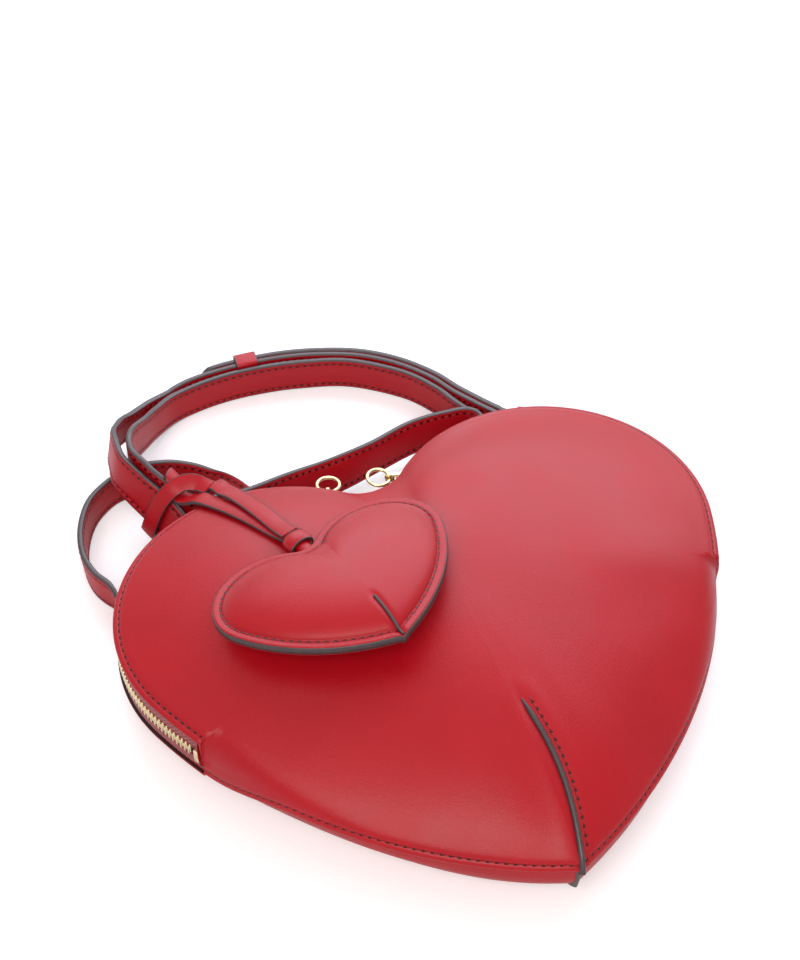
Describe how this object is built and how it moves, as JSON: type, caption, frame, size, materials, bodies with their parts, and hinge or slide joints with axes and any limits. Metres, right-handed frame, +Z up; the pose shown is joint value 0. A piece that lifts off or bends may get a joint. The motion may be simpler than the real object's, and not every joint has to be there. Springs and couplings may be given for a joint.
{
  "type": "shoulder bag",
  "caption": "Heart-shaped red leather shoulder bag lying on its back, with a zip round the lobes, a buckled strap coiled behind it and a small heart charm on top",
  "frame": {"origin": "centre of the flat stretch of the back panel on which the bag lies", "axes": "+X to the right lobe, +Y from the tip to the notch between the lobes, +Z up through the front panel"},
  "size_m": [0.2496, 0.3122, 0.0776],
  "materials": {
    "leather": "smooth satin calf leather",
    "edge_paint": "dark painted leather edge",
    "tape": "woven zip tape",
    "gold_metal": "light gold plating",
    "lining": "woven cotton lining",
    "thread": "waxed sewing thread",
    "wadding": "padding"
  },
  "bodies": {
    "bag": {"front_panel": "leather", "back_panel": "leather", "front_dart_welt": "edge_paint", "back_dart_welt": "edge_paint", "front_lining": "lining", "back_lining": "lining", "slip_pocket": "lining", "zip_tape_front": "tape", "zip_tape_back": "tape", "zip_teeth_front": "gold_metal", "zip_teeth_back": "gold_metal", "zip_end_stops": "gold_metal", "left_tab": "leather", "right_tab": "leather", "left_strap_ring": "gold_metal", "right_strap_ring": "gold_metal", "strap_short": "leather", "strap_long": "leather", "buckle_frame": "gold_metal", "fixed_keeper": "leather", "charm_strip": "leather"},
    "slider_l": {"left_slider": "gold_metal"},
    "slider_r": {"right_slider": "gold_metal"},
    "pull_l": {"left_pull": "gold_metal"},
    "pull_r": {"right_pull": "gold_metal"},
    "ring_l": {"left_pull_ring": "gold_metal"},
    "ring_r": {"right_pull_ring": "gold_metal"},
    "prong": {"buckle_prong": "gold_metal"},
    "keeper": {"sliding_keeper": "leather"},
    "charm": {"charm_top_leather": "leather", "charm_back_leather": "leather", "charm_padding": "wadding", "charm_dart_welt": "edge_paint", "charm_knot": "leather"}
  },
  "joints": [
    {"name": "left_zip_travel", "type": "hinge", "parent": "bag", "child": "slider_l", "pos_m": [-0.0584, 0.0156, 0.026], "axis": [0, 0, 1], "range_deg": [0, 150], "deforming": ["charm_strip"]},
    {"name": "right_zip_travel", "type": "hinge", "parent": "bag", "child": "slider_r", "pos_m": [0.0584, 0.0156, 0.026], "axis": [0, 0, -1], "range_deg": [0, 150]},
    {"name": "left_pull_swing", "type": "hinge", "parent": "slider_l", "child": "pull_l", "pos_m": [-0.01709, 0.07043, 0.026], "axis": [0, 0, 1], "range_deg": [-47, 53]},
    {"name": "right_pull_swing", "type": "hinge", "parent": "slider_r", "child": "pull_r", "pos_m": [0.01709, 0.07043, 0.026], "axis": [0, 0, 1], "range_deg": [-98, 2]},
    {"name": "left_ring_tilt", "type": "hinge", "parent": "pull_l", "child": "ring_l", "pos_m": [-0.01487, 0.0752, 0.026], "axis": [0.9064, -0.4225, 0], "range_deg": [-44, 56]},
    {"name": "right_ring_tilt", "type": "hinge", "parent": "pull_r", "child": "ring_r", "pos_m": [0.01215, 0.07223, 0.026], "axis": [0.3422, 0.9396, 0], "range_deg": [-55, 45]},
    {"name": "prong_swing", "type": "hinge", "parent": "bag", "child": "prong", "pos_m": [0.09348, 0.08149, 0.01148], "axis": [0, 0, 1], "range_deg": [0, 6]},
    {"name": "keeper_slide", "type": "slide", "parent": "bag", "child": "keeper", "axis": [0.994, -0.109, 0], "range_m": [-0.004, 0.002]},
    {"name": "charm_lift", "type": "hinge", "parent": "bag", "child": "charm", "pos_m": [-0.04742, 0.03087, 0.05416], "axis": [-0.9747, -0.2232, -0.0117], "range_deg": [0, 75], "deforming": ["charm_strip"]}
  ]
}
